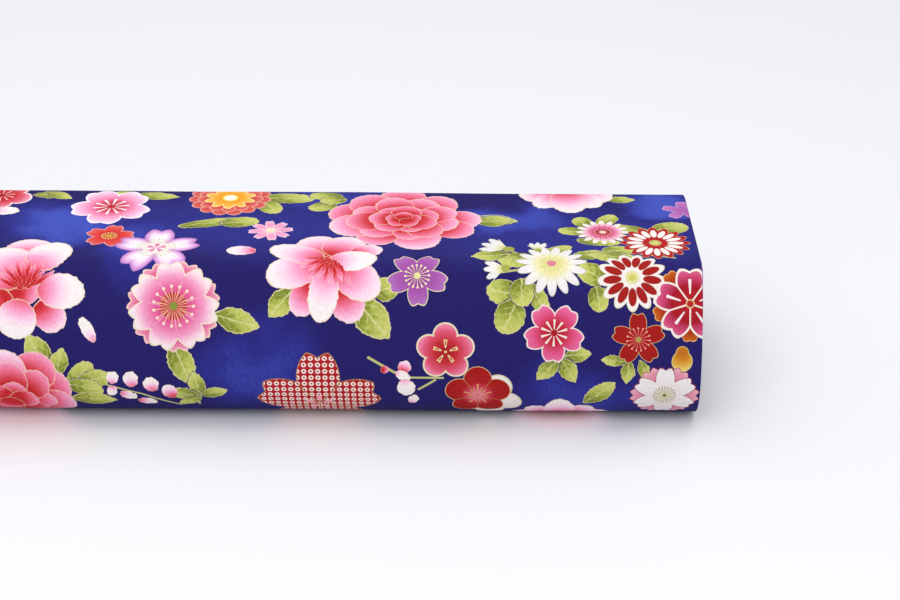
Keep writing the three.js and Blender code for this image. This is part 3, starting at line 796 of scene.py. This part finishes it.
for x, y, size, turn in ((-96, -65, 15, 155), (-81, -66, 9, 90), (-98, -83.5, 11, 185)):
    flowers.append(dict(name="side view", x=x, y=y, size=size, turn=turn,
                        layers=[dict(count=14, petal=(0.6, 0.4, 0.16, 0, 0), fan=0.75, edge=("c9c8a4", 0.1),
                                     fill=[(0.3, "d8d49c"), (0.5, "e8e4dc"), (1, "e4e0e8")])],
                        eye=[(0.2, "a3a548")]))


def weave(ink):
    # the plain weave's own little ridges, and the slight slub of the yarn
    mark = ink.put("UVMap", uv_map="cloth")
    warp = ink.put("TexWave", mark, 640.0, out=1, bands_direction="X")
    weft = ink.put("TexWave", mark, 640.0, out=1, bands_direction="Y")
    return ink.num("MULTIPLY_ADD", ink.noise(0.5, (1, 6, 1)), 1.6, ink.num("MULTIPLY", warp, weft))


def cottonMaterial():
    made = newMaterial("printed cotton")
    ink = Ink(made.node_tree)
    whole = ink.vec("SCALE", ink.put("UVMap", uv_map="cloth"), 1000.0)
    cloth = ink.vec("WRAP", whole, tile["high"], tile["low"])

    def press(name, paint, detail, vector, under, carries="NodeSocketColor"):
        socket = ink.put("Group", node_tree=stencil(name, paint, detail, carries), out=0)
        ink.tree.links.new(vector, socket.node.inputs[0])
        if isinstance(under, bpy.types.NodeSocket):
            ink.tree.links.new(under, socket.node.inputs[1])
        else:
            socket.node.inputs[1].default_value = under
        return socket

    def search(name, find, things, vector):
        found = (9, 9, 0)
        for start in range(0, len(things), 12):
            found = press(name + str(start // 12 + 1), find, things[start:start + 12], vector, found,
                          "NodeSocketVector")
        return found

    colour = press("ground", paintGround, ground, cloth, (0, 0, 0, 1))
    shaken = press("ruffles", ruffled, petalInk, cloth, (0, 0, 0), "NodeSocketVector")
    colour = press("twigs", paintTwigs, twigInk, cloth, colour)
    colour = press("lobe shades", shadeLobes, leafInk,
                   search("lobes ", findLobes, leafInk["lobed"], shaken), colour)
    colour = press("leaf shades", shadeLeaves, leafInk,
                   search("leaves ", findLeaves, leafInk["pointed"], shaken), colour)
    colour = press("petal shades", shadePetals, petalInk,
                   search("petals ", findPetals, allPetals(), shaken), colour)
    for flower in flowers:
        colour = press(flower["name"], paintFlower, flower, cloth, colour)
    grain = ink.span(ink.noise(1.1, (1, 2, 1), detail=3.0), 0.35, 0.8, 0.0, 0.16)
    colour = ink.mix(grain, colour, hexColour("15122f"))
    ink.finish(colour, 0.75, bump=weave(ink), depth=0.00006, Specular_IOR_Level=0.12)
    print("printed cotton:", sum(len(g.nodes) for g in bpy.data.node_groups), "nodes")
    return made


def wrongSideMaterial():
    # the pattern barely shows through on the unprinted side
    made = newMaterial("cotton wrong side")
    ink = Ink(made.node_tree)
    cloudy = ink.ramp(ink.span(ink.noise(22), 0.35, 0.65), [(0, "aeb0d6"), (0.5, "c6c6de"), (1, "dcd3dc")])
    ink.finish(ink.mix(ink.span(ink.noise(0.8), 0.4, 0.9, 0, 0.2), cloudy, hexColour("f0eef0")), 0.85,
               bump=weave(ink), depth=0.00006)
    return made


def paperMaterial(name, colours, roughness, fibre=420, depth=0.00008, sheen=0.0):
    # pulp board or paper: cloudy colour, short fibres lying along X
    made = newMaterial(name)
    ink = Ink(made.node_tree)
    spot = ink.put("TexCoord", out=3)
    cloud = ink.put("TexNoise", spot, None, 60.0, 3.0)
    fibres = ink.put("TexNoise", ink.put("Mapping", spot, None, None, (fibre * 0.25, fibre, fibre)), None,
                     1.0, 4.0)
    colour = ink.ramp(ink.span(cloud, 0.3, 0.7), [(0, colours[0]), (1, colours[1])])
    colour = ink.mix(ink.span(fibres, 0.52, 0.72, 0, 0.7), colour, hexColour(colours[2]))
    colour = ink.mix(ink.span(fibres, 0.46, 0.3, 0, 0.5), colour, hexColour(colours[3]))
    ink.finish(colour, roughness, bump=fibres, depth=depth, Sheen_Weight=sheen)
    return made


def steelMaterial():
    made = newMaterial("pin steel")
    ink = Ink(made.node_tree)
    spot = ink.put("TexCoord", out=3)
    wear = ink.put("TexNoise", ink.put("Mapping", spot, None, None, (300, 4000, 4000)), None, 1.0, 2.0)
    colour = ink.ramp(wear, [(0.3, "b4b6ba"), (0.7, "d6d8da")])
    ink.finish(colour, ink.span(wear, 0.3, 0.7, 0.18, 0.34), bump=wear, depth=0.00001, Metallic=1.0)
    return made


def pearlMaterial():
    made = newMaterial("pearl head")
    ink = Ink(made.node_tree)
    spot = ink.put("TexCoord", out=3)
    swirl = ink.put("TexNoise", spot, None, 350.0, 2.0)
    colour = ink.ramp(swirl, [(0.3, "e6dccf"), (0.5, "f4efe8"), (0.7, "e9e4ea")])
    ink.finish(colour, 0.22, bump=swirl, depth=0.00001, Coat_Weight=0.7, Coat_Roughness=0.08)
    return made


printedCotton = cottonMaterial()
wrongSide = wrongSideMaterial()
kraft = paperMaterial("kraft board", ("a37b51", "b88d60", "cba67b", "8a6440"), 0.86)
tapePaper = paperMaterial("gummed paper tape", ("c29a68", "cda673", "d9b98c", "a98354"), 0.45, fibre=700,
                          depth=0.00003)
labelPaper = paperMaterial("label paper", ("ece8de", "f3f0e8", "faf8f3", "dcd6c8"), 0.6, fibre=900,
                           depth=0.00002)
steel = steelMaterial()
pearl = pearlMaterial()
carried = {
    kraft: ["core_outer_liner", "core_fluting", "core_inner_liner", "core_spacer", "end_plug_left",
            "end_plug_right"],
    tapePaper: ["core_seam_tape", "start_tape_1", "start_tape_2", "start_tape_3"],
    labelPaper: ["end_label"],
}
for made, nodes in carried.items():
    for node in nodes:
        mesh = bpy.data.objects[node].data
        mesh.materials.clear()
        mesh.materials.append(made)
print("materials ready")


def evenShares(count):
    return [0, 0.5 * winding["selvage"] / boltEnd] + [i / count for i in range(2, count + 1)]


endShares = [0, 0.5 * winding["selvage"] / boltEnd, 0.05, 0.5, 0.97, 0.992, 1]
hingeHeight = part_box("cloth_tail")[1][2]

inner, innerLength = woundCloth("woundTurns", False, winding["startHeight"], winding["startHeight"],
                                1 - winding["turns"], -1, endShares, sink=0.4)
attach(inner, "wound_bolt")
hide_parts("cloth_inner_turns")

outer, outerLength = woundCloth("lastTurn", True, winding["startHeight"], hingeHeight, -1, 0,
                                evenShares(112), proud=1.0)
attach(outer, "wound_bolt")
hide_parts("cloth_outer_turn")

tail, tailLength = woundCloth("tailFlap", True, hingeHeight, winding["endHeight"], 0, 0, evenShares(112),
                              proud=1.0,
                              thickness=winding["tailThickness"])
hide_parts("cloth_tail")
joints = {joint["name"]: joint for joint in frame["joints"]}
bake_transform(tail)
print("cloth wound:", round(innerLength, 2), round(outerLength, 3), round(tailLength, 3), "metres of bolt")

pin = dict(radius=0.35 * mm, reach=38 * mm, point=5 * mm, head=2 * mm)


def pinPiece(name, shape, made, node, body):
    mesh = bpy.data.meshes.new(name)
    for face in shape.faces:
        face.smooth = True
    shape.to_mesh(mesh)
    shape.free()
    mesh.materials.append(made)
    piece = bpy.data.objects.new(name, mesh)
    bpy.context.collection.objects.link(piece)
    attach(piece, body)
    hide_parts(node)


for number in ("1", "2", "3"):
    body = "pin_" + number
    along = -Vector(joints[body + "_pull"]["axis"])
    low, high = (Vector(corner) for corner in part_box("pin_head_" + number))
    aim = Matrix.Translation((low + high) / 2) @ along.to_track_quat("Z", "Y").to_matrix().to_4x4()
    ball = bmesh.new()
    bmesh.ops.create_uvsphere(ball, u_segments=32, v_segments=20, radius=pin["head"], matrix=aim)
    pinPiece("pinHead" + number, ball, pearl, "pin_head_" + number, body)
    shaft = bmesh.new()
    bmesh.ops.create_circle(shaft, cap_ends=True, segments=20, radius=pin["radius"])
    bmesh.ops.reverse_faces(shaft, faces=shaft.faces)
    for length, size in ((pin["reach"] - pin["point"], 1), (pin["point"] * 0.6, 0.6),
                         (pin["point"] * 0.4, 0.05)):
        top = max(shaft.faces, key=lambda f: f.calc_center_median().z)
        made = bmesh.ops.extrude_discrete_faces(shaft, faces=[top])["faces"]
        bmesh.ops.translate(shaft, vec=(0, 0, length), verts=made[0].verts)
        centre = made[0].calc_center_median()
        wide = max((v.co - centre).length for v in made[0].verts)
        for v in made[0].verts:
            v.co = centre + (v.co - centre) * pin["radius"] * size / wide
    bmesh.ops.transform(shaft, matrix=aim, verts=shaft.verts)
    pinPiece("pinShaft" + number, shaft, steel, "pin_shaft_" + number, body)
print("pins ready")

low, high = cadBox
